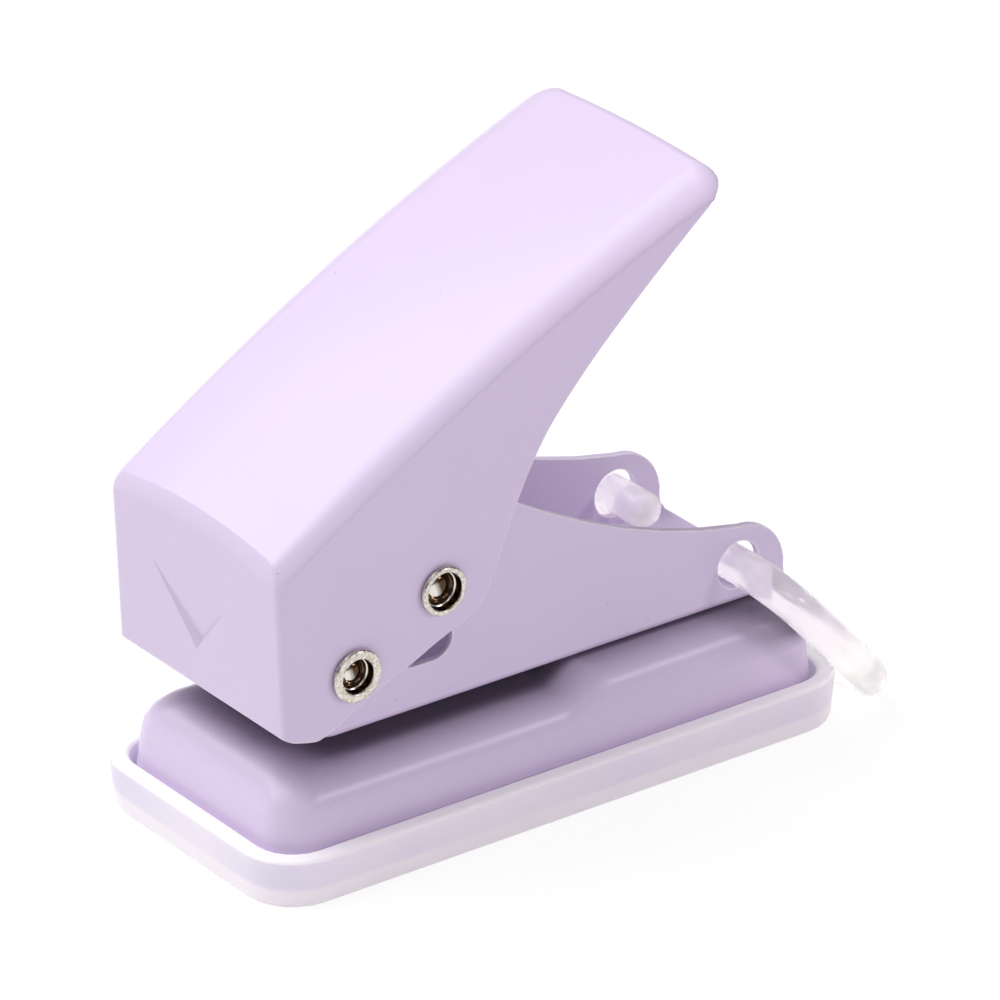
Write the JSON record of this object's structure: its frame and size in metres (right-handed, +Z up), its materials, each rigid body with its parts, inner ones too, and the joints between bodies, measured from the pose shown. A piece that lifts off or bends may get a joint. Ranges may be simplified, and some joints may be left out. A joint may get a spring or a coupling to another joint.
{
  "type": "single hole punch",
  "caption": "Hand-operated punch for one hole, with a raised sheet-metal lever, a chip tray and a hanging loop.",
  "frame": {"origin": "centre of the chip tray's underside, on the desk", "axes": "+Z up, -Y towards the nose where the paper goes in, +X across the punch"},
  "size_m": [0.041, 0.0838, 0.0702],
  "materials": {
    "lilac_paint": "glossy",
    "frosted_tray": "satin",
    "clear_loop": "satin",
    "nickel": "polished",
    "tool_steel": "brushed"
  },
  "bodies": {
    "base_body": {"base_plate": "lilac_paint", "frame": "lilac_paint", "frame_rivet_front": "tool_steel", "frame_rivet_rear": "tool_steel", "return_spring": "tool_steel"},
    "lever_body": {"lever": "lilac_paint", "pivot_rivet": "nickel", "drive_rivet": "nickel", "pivot_spacer_left": "tool_steel", "pivot_spacer_right": "tool_steel"},
    "punch_body": {"punch_pin": "tool_steel"},
    "loop_body": {"loop_ring": "clear_loop"},
    "tray_body": {"chip_tray": "frosted_tray"}
  },
  "joints": [
    {"name": "lever_press", "type": "hinge", "parent": "base_body", "child": "lever_body", "pos_m": [0, -0.02733, 0.02486], "axis": [-1, 0, 0], "range_deg": [0, 37], "stiffness_Nm_per_rad": 0.2, "springref_deg": -18.91},
    {"name": "punch_slide", "type": "slide", "parent": "base_body", "child": "punch_body", "axis": [0, 0, -1], "range_m": [0, 0.00805], "deforming": ["return_spring"]},
    {"name": "loop_swing", "type": "hinge", "parent": "base_body", "child": "loop_body", "pos_m": [0, 0.027, 0.0199], "axis": [1, 0, 0], "range_deg": [0, 60]},
    {"name": "tray_pull", "type": "slide", "parent": "base_body", "child": "tray_body", "axis": [0, 0, -1], "range_m": [0, 0.01]}
  ],
  "couplings": [
    {"joint": "punch_slide", "follows": "lever_press", "m_per_rad": 0.012472}
  ]
}
